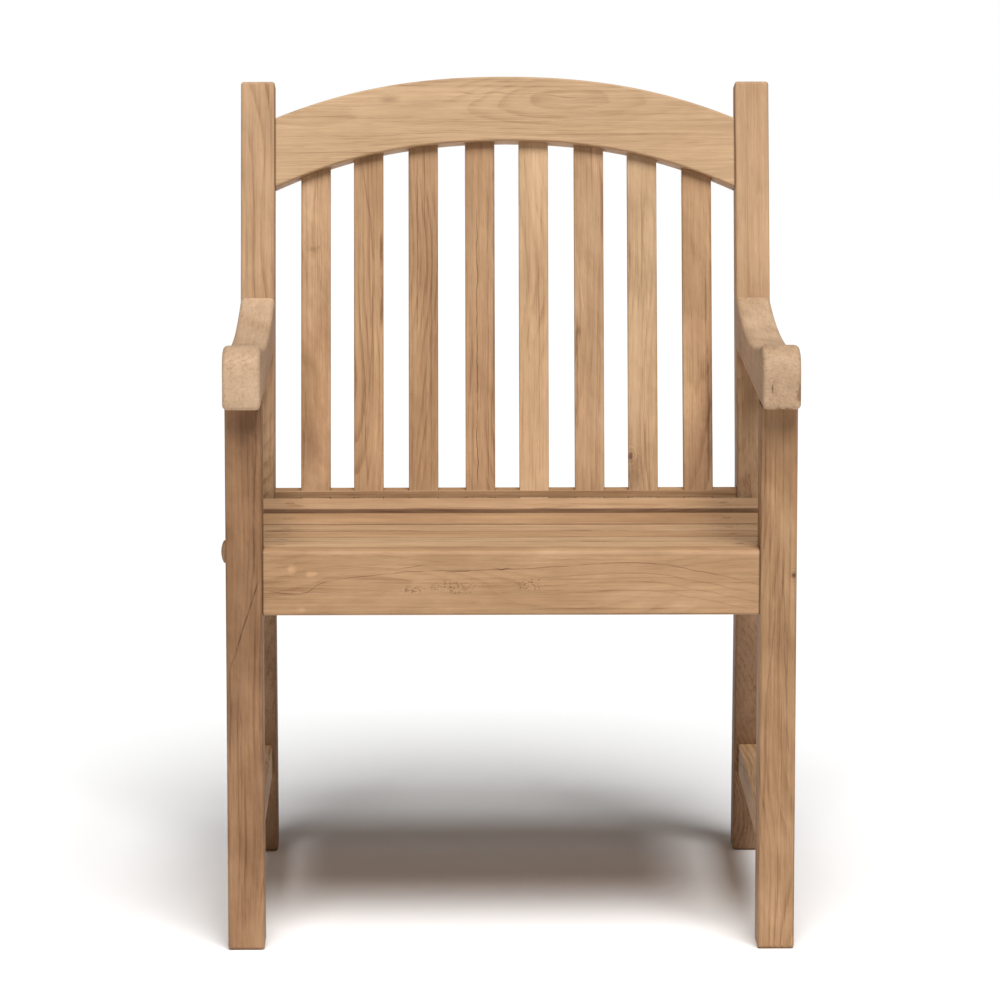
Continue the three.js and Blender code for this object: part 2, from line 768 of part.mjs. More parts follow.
const chair = new THREE.Group();
for (const side of SIDES) {
  chair.add(frontLeg(side));
  chair.add(rearLeg(side));
  chair.add(sideRail(side));
  chair.add(sideStretcher(side));
  chair.add(bearer(side));
  chair.add(arm(side));
  BEARER_SCREWS.forEach((_, number) => chair.add(bearerScrew(side, number)));
}
chair.add(back);
chair.add(lowerBackRail());
chair.add(frontApron());
chair.add(...seatSlats);
chair.add(legButton());
chair.position.y = (ARM.overhang - TOP_BACK[0]) / 2;

const group = new THREE.Group();
group.add(chair);

export default group;
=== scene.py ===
"""The looks of a slatted teak garden armchair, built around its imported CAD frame."""

import math

import bmesh
import bpy
from mathutils import Matrix, Vector
from mathutils.bvhtree import BVHTree


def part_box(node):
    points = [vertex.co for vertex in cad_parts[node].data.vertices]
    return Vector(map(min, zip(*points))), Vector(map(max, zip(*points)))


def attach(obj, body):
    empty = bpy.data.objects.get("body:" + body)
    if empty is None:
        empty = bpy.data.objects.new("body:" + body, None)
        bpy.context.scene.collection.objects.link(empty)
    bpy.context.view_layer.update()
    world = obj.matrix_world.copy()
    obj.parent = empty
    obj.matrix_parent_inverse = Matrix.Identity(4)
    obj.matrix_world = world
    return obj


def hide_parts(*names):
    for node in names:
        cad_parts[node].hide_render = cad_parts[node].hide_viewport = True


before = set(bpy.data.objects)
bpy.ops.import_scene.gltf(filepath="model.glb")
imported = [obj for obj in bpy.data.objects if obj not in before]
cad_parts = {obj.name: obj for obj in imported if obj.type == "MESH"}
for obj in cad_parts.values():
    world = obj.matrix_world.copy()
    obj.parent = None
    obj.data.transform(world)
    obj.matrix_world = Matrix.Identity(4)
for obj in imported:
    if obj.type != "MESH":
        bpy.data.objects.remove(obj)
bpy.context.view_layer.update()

bl_info = {
    "name": "Teak Garden Armchair",
    "version": (1, 0, 0),
    "blender": (4, 5, 0),
    "location": "View3D > Sidebar > Armchair",
    "description": "Builds the boards, plugs and finish of a slatted teak garden armchair",
    "category": "Object",
}

MM = 0.001
BODY = "root"
MERGE = 1e-6  # corners closer than this are one
FLAT = math.radians(0.2)  # faces that turn less than this are one flat face
HARD = math.radians(34)  # a corner that turns more than this stays crisp
HOLE = 70 * MM  # the widest mortise
OFF_THE_WALL = 0.3 * MM  # how far outside a wall the search for a mortise starts
BELOW_THE_FACE = 0.5 * MM  # and how far below the board's face
ALONG = 0.6  # an edge runs along a direction when this share of it does
BROAD = 0.98  # a face is a board's broad face when this share of its normal is
ROUNDING_STEPS = 3  # strips in a rounded edge
SIDES = ("left", "right")

# The chair's own directions
X = Vector((1, 0, 0))
Y = Vector((0, 1, 0))
Z = Vector((0, 0, 1))
RAKE = math.radians(13.5)  # how far the back leans
UP_THE_BACK = Vector((0, math.sin(RAKE), math.cos(RAKE)))
THROUGH_THE_BACK = Vector((0, math.cos(RAKE), -math.sin(RAKE)))


# ---- Settings ---------------------------------------------------------------------------


def linear(code):
    """An sRGB hex colour as linear red, green and blue."""
    channels = (int(code[i : i + 2], 16) / 255 for i in (1, 3, 5))
    return tuple(c / 12.92 if c <= 0.04045 else ((c + 0.055) / 1.055) ** 2.4 for c in channels)


def length_property(name, description, default):
    """A length in metres."""
    return bpy.props.FloatProperty(
        name=name, description=description, default=default, min=0, unit="LENGTH", precision=4
    )


def colour_property(name, description, code):
    """A colour, from its sRGB hex code."""
    return bpy.props.FloatVectorProperty(
        name=name,
        description=description,
        default=linear(code),
        size=3,
        subtype="COLOR",
        min=0,
        max=2,
    )


class ARMCHAIR_PG_edges(bpy.types.PropertyGroup):
    """How far the edges are eased with sandpaper."""

    leg: length_property("Legs", "Radius of the legs' long edges", 3.2 * MM)
    arm: length_property("Arms", "Radius of the arms' edges", 5 * MM)
    rail: length_property("Rails", "Radius of the rails' and stretchers' edges", 1.8 * MM)
    apron: length_property("Apron", "Radius of the front apron's edges", 3.2 * MM)
    crest: length_property("Crest", "Radius of the crest rail's edges", 2.4 * MM)
    back_rail: length_property("Back rail", "Radius of the lower back rail's edges", 1.2 * MM)
    back_slat: length_property("Back slats", "Radius of the back slats' edges", 1.6 * MM)
    seat_slat: length_property("Seat slats", "Radius of the seat slats' edges", 1.5 * MM)
    plug: length_property("Plugs", "Radius of the plugs' rims", 0.4 * MM)


class ARMCHAIR_PG_teak(bpy.types.PropertyGroup):
    """What all the boards share."""

    ring: length_property("Growth rings", "Mean width of a growth ring", 5 * MM)
    roughness: bpy.props.FloatProperty(
        name="Roughness", description="Sanded, unoiled face", default=0.62, min=0, max=1
    )


class ARMCHAIR_PG_stage(bpy.types.PropertyGroup):
    """Floor, light and camera."""

    floor: colour_property("Floor", "Pale paint", "#FEFEFE")
    floor_size: length_property("Floor size", "Side of the floor", 16.0)
    camera_place: bpy.props.FloatVectorProperty(
        name="Camera",
        description="Where the camera stands",
        default=(-0.0776, -5.895, 1.3286),
        size=3,
        subtype="TRANSLATION",
        unit="LENGTH",
    )
    camera_pitch: bpy.props.FloatProperty(
        name="Pitch",
        description="How far the camera looks down",
        default=math.radians(8.57),
        subtype="ANGLE",
    )
    camera_yaw: bpy.props.FloatProperty(
        name="Yaw",
        description="How far the camera turns to the right",
        default=math.radians(0.67),
        subtype="ANGLE",
    )
    lens: bpy.props.FloatProperty(
        name="Lens", description="Focal length in millimetres", default=195.1, min=1
    )
    daylight: bpy.props.FloatProperty(
        name="Daylight", description="Soft light from above and in front", default=3.55, min=0
    )
    room_light: bpy.props.FloatProperty(
        name="Room light", description="Even light from all round", default=0.12, min=0
    )


def settings(name):
    """One group of the settings in the sidebar."""
    return getattr(bpy.context.scene, "armchair_" + name)


# ---- Node helpers -----------------------------------------------------------------------


def add_node(tree, kind, links=None, **values):
    """Adds a node. links maps an input to an output, and values sets inputs or attributes."""
    node = tree.nodes.new(kind)
    for key, value in values.items():
        setattr(node, key, value)
    for key, value in (links or {}).items():
        socket = node.inputs[key]
        if isinstance(value, bpy.types.NodeSocket):
            tree.links.new(value, socket)
        else:
            socket.default_value = value
    return node


def number(tree, operation, *terms):
    """One Math node's result."""
    node = add_node(tree, "ShaderNodeMath", dict(enumerate(terms)), operation=operation)
    return node.outputs[0]


def vector(tree, operation, *terms):
    """One Vector Math node's result."""
    node = add_node(tree, "ShaderNodeVectorMath", dict(enumerate(terms)), operation=operation)
    return node.outputs["Value" if operation in ("LENGTH", "DISTANCE") else "Vector"]


def noise(tree, place, cell, detail=2.0, rough=0.5):
    """Noise whose cells have the given size in millimetres, where place is in millimetres."""
    scaled = vector(tree, "DIVIDE", place, cell)
    return add_node(
        tree,
        "ShaderNodeTexNoise",
        {"Vector": scaled, "Scale": 1.0, "Detail": detail, "Roughness": rough},
    ).outputs["Fac"]


def remap(tree, value, low, high, to_low=0.0, to_high=1.0, smooth=True):
    """Value from low to high, as to_low to to_high, and clamped there."""
    return add_node(
        tree,
        "ShaderNodeMapRange",
        {
            "Value": value,
            "From Min": low,
            "From Max": high,
            "To Min": to_low,
            "To Max": to_high,
        },
        interpolation_type="SMOOTHSTEP" if smooth else "LINEAR",
    ).outputs["Result"]


def mix(tree, blend, amount, first, second):
    """One Mix Color node's result."""
    node = add_node(tree, "ShaderNodeMix", data_type="RGBA", blend_type=blend)
    for socket, value in ((0, amount), (6, first), (7, second)):
        if isinstance(value, bpy.types.NodeSocket):
            tree.links.new(value, node.inputs[socket])
        else:
            node.inputs[socket].default_value = value
    return node.outputs[2]


def new_group(name, inputs, outputs):
    """An empty node group, with its input and output nodes."""
    tree = bpy.data.node_groups.new(name, "ShaderNodeTree")
    for label, kind in inputs:
        tree.interface.new_socket(label, in_out="INPUT", socket_type=kind)
    for label, kind in outputs:
        tree.interface.new_socket(label, in_out="OUTPUT", socket_type=kind)
    return tree, tree.nodes.new("NodeGroupInput").outputs, tree.nodes.new("NodeGroupOutput").inputs


# ---- Teak -------------------------------------------------------------------------------
# Plantation teak, planed and sanded, neither oiled nor varnished: dull, warm tan, with
# growth rings a few millimetres apart, open pores that show as short dark dashes, and
# streaks that run with the grain. Inside a board's pattern X runs across its face, Y
# through its thickness and Z with the grain, in millimetres from its middle.

PALE = (1.18, 1.17, 1.17, 1)  # early wood, as shares of the board's own colour
MIDDLE = (1.0, 1.0, 1.0, 1)
DARK = (0.64, 0.54, 0.45, 1)  # late wood, redder as it darkens
PORE = (0.6, 0.48, 0.4, 1)
VEIN_AND_SHADE = (0.32, 0.22, 0.17, 1)  # mineral lines and knots, and all painted shade
BLEACH_AND_HIGHLIGHT = (1.3, 1.32, 1.36, 1)  # scuffed or dried out, paler and greyer, and all painted highlights


def grain_group():
    """The pattern that all the boards share."""
    tree, given, out = new_group(
        "Teak grain",
        [
            ("Place", "NodeSocketVector"),
            ("Shift", "NodeSocketVector"),
            ("Pith", "NodeSocketVector"),
            ("Ring", "NodeSocketFloat"),
            ("Figure", "NodeSocketFloat"),
            ("Mottle", "NodeSocketFloat"),
            ("Colour", "NodeSocketColor"),
        ],
        [
            ("Colour", "NodeSocketColor"),
            ("Roughness", "NodeSocketFloat"),
            ("Height", "NodeSocketFloat"),
        ],
    )
    moved = vector(tree, "ADD", given["Place"], given["Shift"])

    # The tree's axis wanders, so the rings bend along the board.
    scaled = vector(tree, "DIVIDE", moved, (120, 120, 380))
    bend = add_node(tree, "ShaderNodeTexNoise", {"Vector": scaled, "Scale": 1.0, "Detail": 1.0})
    bend = vector(tree, "SUBTRACT", bend.outputs["Color"], (0.5, 0.5, 0.5))
    bend = vector(tree, "MULTIPLY", bend, (80, 80, 0))
    flat = vector(tree, "MULTIPLY", vector(tree, "ADD", given["Place"], bend), (1, 1, 0))
    jitter = number(tree, "MULTIPLY", noise(tree, moved, (12, 12, 150), 2.0), 4.0)
    radius = number(tree, "ADD", vector(tree, "DISTANCE", flat, given["Pith"]), jitter)
    rings = number(tree, "FRACT", number(tree, "DIVIDE", radius, given["Ring"]))
    late = number(tree, "MULTIPLY", remap(tree, rings, 0.3, 0.9), remap(tree, rings, 0.9, 1.0, 1.0, 0.0))
    strength = remap(tree, noise(tree, moved, (26, 26, 180), 1.0), 0.35, 0.7, 0.2, 1.0)
    late = number(tree, "MULTIPLY", late, strength)

    # Streaks with the grain, from broad bands to single fibres
    bands = remap(tree, noise(tree, moved, (15, 15, 480), 2.0), 0.3, 0.72)
    streaks = remap(tree, noise(tree, moved, (3.2, 3.2, 210), 4.0, 0.7), 0.32, 0.7)
    lines = remap(tree, noise(tree, moved, (1.3, 1.3, 330), 1.0), 0.58, 0.74)
    fibres = remap(tree, noise(tree, moved, (0.8, 0.8, 30), 1.0), 0.3, 0.75)
    share = number(tree, "MULTIPLY", late, given["Figure"])
    for part, weight in ((bands, 0.2), (streaks, 0.4), (lines, 0.26), (fibres, 0.22)):
        share = number(tree, "MULTIPLY_ADD", part, weight, share)

    # Pores: short dark dashes, drawn about three times as wide as real ones so they show
    pores = remap(tree, noise(tree, moved, (0.7, 0.7, 16), 0.0), 0.66, 0.78)
    pores = number(tree, "MULTIPLY", pores, remap(tree, rings, 0.0, 0.6, 1.0, 0.35))

    wood = mix(tree, "MIX", remap(tree, share, 0.0, 0.45), PALE, MIDDLE)
    wood = mix(tree, "MIX", remap(tree, share, 0.38, 1.05), wood, DARK)
    wood = mix(tree, "MIX", number(tree, "MULTIPLY", pores, 0.32), wood, PORE)

    # Sheen of the fibres: soft patches that lie askew to the grain, and a slow drift in colour
    askew = add_node(tree, "ShaderNodeMapping", {"Vector": moved})
    askew.inputs["Rotation"].default_value = (0, math.radians(14), 0)
    patches = noise(tree, askew.outputs[0], (22, 40, 55), 4.0, 0.62)
    drift = noise(tree, moved, (60, 60, 190), 1.0)
    patches = number(tree, "MULTIPLY_ADD", drift, 1.2, patches)
    patches = remap(tree, patches, 0.75, 1.45, -1.0, 1.0, smooth=False)
    lightness = number(tree, "MULTIPLY_ADD", patches, given["Mottle"], 1.0)
    wood = add_node(tree, "ShaderNodeVectorMath", {0: wood, "Scale": lightness}, operation="SCALE")
    wood = mix(tree, "MULTIPLY", 1.0, given["Colour"], wood.outputs["Vector"])
    # Darker patches are browner: raised to a power, blue falls faster than red.
    brown = number(tree, "MULTIPLY_ADD", patches, number(tree, "MULTIPLY", given["Mottle"], -0.7), 1.0)
    wood = add_node(tree, "ShaderNodeGamma", {"Color": wood, "Gamma": brown}).outputs[0]
    tree.links.new(wood, out["Colour"])

    rough = number(tree, "MULTIPLY_ADD", pores, 0.18, remap(tree, share, 0.0, 1.0, 0.02, -0.06))
    tree.links.new(rough, out["Roughness"])
    relief = number(tree, "MULTIPLY", pores, -0.6)
    relief = number(tree, "MULTIPLY_ADD", fibres, -0.25, relief)
    relief = number(tree, "MULTIPLY_ADD", late, 0.3, relief)
    tree.links.new(relief, out["Height"])
    return tree


VEIN_INPUTS = ("Across", "Slope", "Wander", "Wave", "Width", "From", "To")
FADE_OUT = 18.0  # millimetres over which a vein fades at each end


def vein_group():
    """A thin line that runs with the grain, wandering and fading out at its ends."""
    tree, given, out = new_group(
        "Vein",
        [("Place", "NodeSocketVector")] + [(label, "NodeSocketFloat") for label in VEIN_INPUTS],
        [("Amount", "NodeSocketFloat")],
    )
    split = add_node(tree, "ShaderNodeSeparateXYZ", {0: given["Place"]}).outputs
    along = number(tree, "ADD", number(tree, "DIVIDE", split["Z"], given["Wave"]), given["From"])
    line = add_node(
        tree,
        "ShaderNodeTexNoise",
        {"W": along, "Scale": 1.0, "Detail": 3.0},
        noise_dimensions="1D",
    ).outputs["Fac"]
    sway = number(tree, "MULTIPLY", number(tree, "SUBTRACT", line, 0.5), given["Wander"])
    course = number(tree, "MULTIPLY_ADD", given["Slope"], split["Z"], given["Across"])
    course = number(tree, "MULTIPLY_ADD", sway, 2.0, course)
    offset = number(tree, "ABSOLUTE", number(tree, "SUBTRACT", split["X"], course))
    body = remap(tree, number(tree, "DIVIDE", offset, given["Width"]), 0.15, 1.0, 1.0, 0.0)
    begin = remap(tree, number(tree, "SUBTRACT", split["Z"], given["From"]), 0.0, FADE_OUT)
    end = remap(tree, number(tree, "SUBTRACT", given["To"], split["Z"]), 0.0, FADE_OUT)
    broken = remap(tree, noise(tree, given["Place"], (6, 6, 24), 2.0), 0.3, 0.55, 0.3, 1.0)
    amount = number(tree, "MULTIPLY", body, number(tree, "MULTIPLY", begin, end))
    tree.links.new(number(tree, "MULTIPLY", amount, broken), out["Amount"])
    return tree


def spot_group():
    """A knot, a stained or scuffed patch, or a patch of painted shade: a ragged oval that fades out beyond
    its core.
    """
    tree, given, out = new_group(
        "Spot",
        [
            ("Place", "NodeSocketVector"),
            ("Centre", "NodeSocketVector"),
            ("Size", "NodeSocketVector"),
            ("Ragged", "NodeSocketFloat"),
            ("Core", "NodeSocketFloat"),
        ],
        [("Amount", "NodeSocketFloat"), ("Halo", "NodeSocketFloat"), ("Pits", "NodeSocketFloat")],
    )
    away = vector(tree, "SUBTRACT", given["Place"], given["Centre"])
    distance = vector(tree, "LENGTH", vector(tree, "DIVIDE", away, given["Size"]))
    edge = number(tree, "SUBTRACT", noise(tree, given["Place"], (5, 5, 9), 3.0, 0.6), 0.5)
    distance = number(tree, "MULTIPLY_ADD", edge, given["Ragged"], distance)
    amount = remap(tree, distance, given["Core"], 1.0, 1.0, 0.0)
    tree.links.new(amount, out["Amount"])
    ripples = remap(tree, number(tree, "SINE", number(tree, "MULTIPLY", distance, 7.5)), 0.1, 1.0)
    fade = remap(tree, distance, 0.8, 3.2, 1.0, 0.0)
    tree.links.new(number(tree, "MULTIPLY", ripples, fade), out["Halo"])
    pits = remap(tree, noise(tree, given["Place"], (1.3, 1.3, 2.4), 1.0), 0.53, 0.62)
    tree.links.new(number(tree, "MULTIPLY", pits, amount), out["Pits"])
    return tree


# The tones that teak boards come in
TONES = {
    "straw": "#C8A47D",
    "honey": "#C2A07B",
    "tan": "#BC9874",
    "biscuit": "#B8926C",
    "hazel": "#B28C67",
    "umber": "#A47E5A",
    "walnut": "#96704F",
    "dried out": "#C0A182",
}

# Each board came out of its own plank: its tone, where the tree's axis lay (X and Y, in
# millimetres from the board's middle), how strong its rings are and how blotchy it is.
PLANKS = {
    "crest_rail": ("honey", (-42, 34), 0.3, 0.05),
    "lower_back_rail": ("hazel", (30, 80), 0.4, 0.08),
    "front_apron": ("hazel", (34, 60), 0.25, 0.1),
    "front_leg_left": ("walnut", (60, -45), 0.4, 0.16),
    "front_leg_right": ("umber", (-70, 50), 0.35, 0.15),
    "rear_leg_left": ("tan", (70, 60), 0.4, 0.09),
    "rear_leg_right": ("tan", (-50, 70), 0.4, 0.08),
    "side_rail": ("umber", (40, 70), 0.45, 0.1),
    # painted light: the stretchers' pale tone stands in for the light they catch under the seat
    "side_stretcher": ("straw", (55, 50), 0.45, 0.1),
    "seat_bearer": ("hazel", (45, 60), 0.45, 0.1),
    "arm_left": ("dried out", (35, 70), 0.14, 0.09),
    "arm_right": ("dried out", (-30, 60), 0.18, 0.13),
    "back_slat_1": ("hazel", (40, 45), 0.2, 0.2),
    "back_slat_2": ("biscuit", (-30, 26), 0.45, 0.1),
    "back_slat_3": ("hazel", (60, 90), 0.35, 0.1),
    "back_slat_4": ("hazel", (-60, 80), 0.4, 0.12),
    "back_slat_5": ("straw", (70, 90), 0.3, 0.1),
    "back_slat_6": ("tan", (-36, 50), 0.35, 0.12),
    "back_slat_7": ("honey", (70, 60), 0.35, 0.14),
    "back_slat_8": ("biscuit", (-50, 46), 0.3, 0.14),
    "seat_slat_1": ("straw", (40, 45), 0.45, 0.09),
    "seat_slat_2": ("honey", (-55, 60), 0.45, 0.1),
    "seat_slat_3": ("biscuit", (30, 50), 0.45, 0.1),
    "seat_slat_4": ("tan", (-40, 65), 0.45, 0.1),
    "seat_slat_5": ("hazel", (50, 50), 0.45, 0.09),
    "seat_slat_6": ("tan", (-30, 55), 0.45, 0.09),
    "slat_plug": ("umber", (3, 40), 0.5, 0.08),
    "leg_button": ("umber", (3, 20), 0.5, 0.1),
}

# Lines with the grain: across, slope, wander, wave, width, from, to, and how dark it is
VEINS = {
    "back_slat_1": [(-9, 0.03, 3, 60, 1.1, -170, -60, 0.35), (6, 0.0, 4, 90, 1.2, -60, 120, 0.25)],
    "back_slat_2": [
        (14.5, 0.0, 2, 50, 2.6, -10, 108, 0.75),
        (15, -0.12, 4, 90, 1.6, 60, 190, 0.4),
        (4, 0.06, 4, 90, 1.4, -150, 40, 0.35),
        (-10, -0.05, 3, 70, 1.3, -190, -60, 0.3),
    ],
    "back_slat_3": [
        (-6.8, 0.0, 1.2, 50, 0.8, -20, 190, 0.75),
        (1.5, 0.0, 1, 60, 0.7, 100, 200, 0.5),
        (9, 0.0, 1.5, 80, 0.8, -190, 120, 0.35),
        (-13, 0.0, 1.5, 80, 0.8, -190, 60, 0.35),
    ],
    "back_slat_4": [
        (-3.4, 0.0, 1.8, 34, 0.75, -20, 128, 0.95),
        (-3.4, 0.0, 2.4, 30, 0.75, -196, -10, 0.9),
        (9, 0.0, 1.2, 70, 0.9, -190, 150, 0.5),
        (15.5, 0.0, 1, 70, 1.4, -190, 200, 0.45),
    ],
    "back_slat_5": [(6, 0.0, 2, 90, 1.2, -190, 60, 0.3)],
    "back_slat_6": [
        (-5, -0.13, 0.8, 60, 1.0, -4, 84, -0.7),
        (10, 0.02, 2, 90, 1.1, -180, 20, 0.35),
        (-13.5, 0.0, 1.5, 40, 1.6, -130, 10, 0.5),
    ],
    "back_slat_7": [(-14.5, 0.0, 1.2, 40, 1.5, 50, 100, 0.5), (2, 0.0, 3, 80, 1.0, -190, 160, 0.3)],
    "back_slat_8": [(12, 0.0, 2, 60, 2.0, -182, -10, 0.5), (-6, 0.0, 3, 90, 1.1, -150, 60, 0.3)],
    "front_apron": [
        (-17, -0.2, 0.6, 20, 0.8, -140, -122, 0.85),
        (-34, -0.16, 1.2, 30, 0.7, -126, -84, 0.7),
        (-15, -0.05, 1.4, 18, 0.8, -76, -30, 0.85),
        (-15, 0.0, 2.6, 14, 1.1, -24, 8, 0.85),
        (14, 0.02, 2, 60, 0.8, -235, -150, 0.3),
    ],
    "front_leg_left": [
        (-14.5, 0.324, 2.4, 34, 1.3, -4, 98, 0.8),
        (-15, 0.0, 2, 60, 1.6, -120, 10, 0.45),
        (6, 0.03, 5, 90, 1.6, 90, 290, 0.45),
        (-4, 0.0, 4, 80, 1.2, -290, -40, 0.35),
    ],
    "front_leg_right": [
        (-8, 0.05, 4, 80, 1.3, -240, 100, 0.35),
        (8, -0.03, 4, 70, 1.3, -100, 120, 0.35),
    ],
    "crest_rail": [(3, 0.0, 5, 120, 0.9, -200, 120, 0.25), (-44, 0.05, 6, 90, 1.0, -60, 90, 0.35)],
}

# Knots, stains, scuffs and patches of painted shade: centre, size, raggedness, core, and how dark it is
SPOTS = {
    "crest_rail": [((-37, -17, -132), (8, 30, 17), 0.5, 0.0, 0.35)],
    "back_slat_1": [
        ((-7, -6, -140), (19, 30, 62), 0.6, 0.1, 0.38),
        ((2, -6, 130), (14, 30, 34), 0.6, 0.0, -0.3),
        ((-3, -6, 92), (9, 30, 7), 2.2, 0.2, 0.35),
        ((-4, -6, 78), (10, 30, 9), 1.2, 0.0, -0.3),
    ],
    "back_slat_6": [((-12, -6, -14), (5, 14, 9), 0.8, 0.1, 0.35)],
    "back_slat_7": [
        ((-14, -6, -152), (4.5, 12, 7), 0.9, 0.4, 0.85),
        ((-10, -6, -174), (12, 30, 30), 0.8, 0.1, 0.5),
    ],
    "back_slat_8": [
        ((15, -6, -95), (12, 30, 95), 0.5, 0.2, 0.45),
        ((-2, -6, -150), (24, 30, 90), 0.5, 0.1, 0.3),
    ],
    "front_leg_left": [
        # painted shadow under the arm's nose, at the top of the leg
        ((3, -27, 255), (26, 60, 40), 0.8, 0.0, 0.3),
        ((-6, -27, 20), (30, 60, 130), 0.5, 0.1, 0.2),
        ((2, -27, 150), (16, 40, 46), 1.0, 0.0, -0.35),
    ],
    "front_leg_right": [
        ((16, -27, 97), (3.2, 14, 4), 0.9, 0.4, 0.85),
        ((-3, -27, 178), (13, 40, 62), 0.8, 0.0, -0.4),
        ((-3, -27, -268), (12, 40, 34), 0.8, 0.0, -0.3),
    ],
    "arm_right": [
        ((19, 15, -262), (6, 15, 26), 1.2, 0.3, 0.62),
        ((-10, 10, -264), (1.1, 7, 20), 0.6, 0.3, 0.8),
        ((2, 32, -264), (17, 2.6, 8), 2.4, 0.2, 0.6),
    ],
    "arm_left": [((-2, -18, -262), (12, 12, 20), 0.6, 0.0, -0.2)],
    # painted shade: each rear leg darker towards the foot, below the seat
    "rear_leg": [((0, 0, -270), (70, 300, 245), 0.3, 0.75, 0.5)],
    "front_apron": [
        ((-15, -12, -231), (6, 20, 6), 2.2, 0.2, -1.0),
        ((-9, -12, -211), (6, 20, 7), 2.2, 0.2, -1.0),
        ((28, -12, -221), (5, 20, 6), 2.2, 0.2, -0.9),
    ],
}

# Clusters of pinhole pits: centre and size
PITS = {
    "front_apron": [
        ((7, -12, -103), (7, 30, 18)),
        ((4, -12, -57), (9, 30, 36)),
        ((2, -12, 18), (9, 30, 22)),
    ],
}

# The long dark vein that crosses the apron: [with the grain, across]
APRON_VEIN = [
    (-262, 6),
    (-225, 11),
    (-202, 1),
    (-165, -6),
    (-103, -12),
    (-10, -14),
    (94, -20),
    (135, -21),
    (197, -12),
    (262, 3),
]
# The vein itself and the fainter ones below it: how far below, how wide, how dark, and from
# where along the apron
APRON_VEIN_ECHOES = (
    (0, 0.75, 0.6, -262),
    (11, 1.2, 0.25, 20),
    (20, 1.4, 0.2, 20),
    (29, 1.4, 0.18, 20),
)
APRON_VEIN_END = 275

# The rounded edges: painted shade, with some grime, darkens most, while a painted highlight makes a few
# pale.
ON_EDGE = "on_edge"
EDGE_SHADE_AND_HIGHLIGHT = {
    "back_slat": 0.5,
    "crest_rail": 0.25,
    "seat_slat": 0.45,
    # painted highlights on the rounded edges of the apron and the front legs
    "front_apron": -0.8,
    "front_leg": -0.22,
    "rear_leg": 0.2,
    "arm_right": 0.35,
    "arm_left": 0.2,
    "lower_back_rail": 0.3,
}

KNOT_CORE = 0.35  # a spot with a bigger core is a knot, with rings round it
KNOT_RINGS = 0.4  # how dark those rings are, as a share of the knot
PIT_DEPTH = 0.7
OTHER_EDGE_SHADE = 0.2  # painted shade on the rounded edges of the other boards
JOINT_SHADE_FADE = (-1.8, -0.6)  # where the painted shade begins and where it is full, from the edge, in millimetres

# Where a board meets its neighbours or a gap, painted shade, with some grime: the board's own axis, how
# far out along it, in millimetres, and how dark it is
JOINT_SHADE_AND_DIRT = {
    "front_apron": ("Z", 261.2, 0.75),
    "crest_rail": ("Z", 261.2, 0.75),
    "seat_slat": ("X", 30.4, 0.65),
}


def own(table, name, missing=()):
    """A board's own entry, or the one that it shares with its twin."""
    for key in (name, name.rsplit("_", 1)[0], name.rsplit("_", 2)[0]):
        if key in table:
            return table[key]
    return missing


def seed(name):
    """A place in the endless grain pattern, far from every other board's."""
    turn = sum((index + 1) * ord(letter) for index, letter in enumerate(name))
    return (turn * 37 % 4001, turn * 53 % 3989, turn * 71 % 9973)


def use_group(tree, name, place, **values):
    """Adds one of the pattern groups, with its settings."""
    node = add_node(tree, "ShaderNodeGroup", node_tree=bpy.data.node_groups[name])
    tree.links.new(place, node.inputs["Place"])
    for key, value in values.items():
        if isinstance(value, bpy.types.NodeSocket):
            tree.links.new(value, node.inputs[key])
        else:
            node.inputs[key].default_value = value
    return node.outputs


def marked(tree, colour, amount, depth):
    """The colour darkened where amount is 1, by marks and by painted shade, or made paler where depth is
    below zero, by bleaching and by painted highlights.
    """
    # darker for marks and painted shade, paler for bleaching and painted highlights
    stain_shade_and_light = mix(tree, "MULTIPLY", 1.0, colour, VEIN_AND_SHADE if depth > 0 else BLEACH_AND_HIGHLIGHT)
    return mix(tree, "MIX", number(tree, "MULTIPLY", amount, abs(depth)), colour, stain_shade_and_light)


def apron_course(tree, place):
    """How far across the apron its long vein lies, at each place along it."""
    half, swing = 270, 60
    z = add_node(tree, "ShaderNodeSeparateXYZ", {0: place}).outputs["Z"]
    curve = tree.nodes.new("ShaderNodeFloatCurve")
    points = curve.mapping.curves[0].points
    for z_at, across in APRON_VEIN[1:-1]:
        points.new((z_at + half) / (2 * half), 0.5 + across / swing)
    for point, (z_at, across) in zip((points[0], points[-1]), (APRON_VEIN[0], APRON_VEIN[-1])):
        point.location = ((z_at + half) / (2 * half), 0.5 + across / swing)
    curve.mapping.update()
    tree.links.new(remap(tree, z, -half, half, smooth=False), curve.inputs["Value"])
    return remap(tree, curve.outputs[0], 0.0, 1.0, -swing / 2, swing / 2, smooth=False)


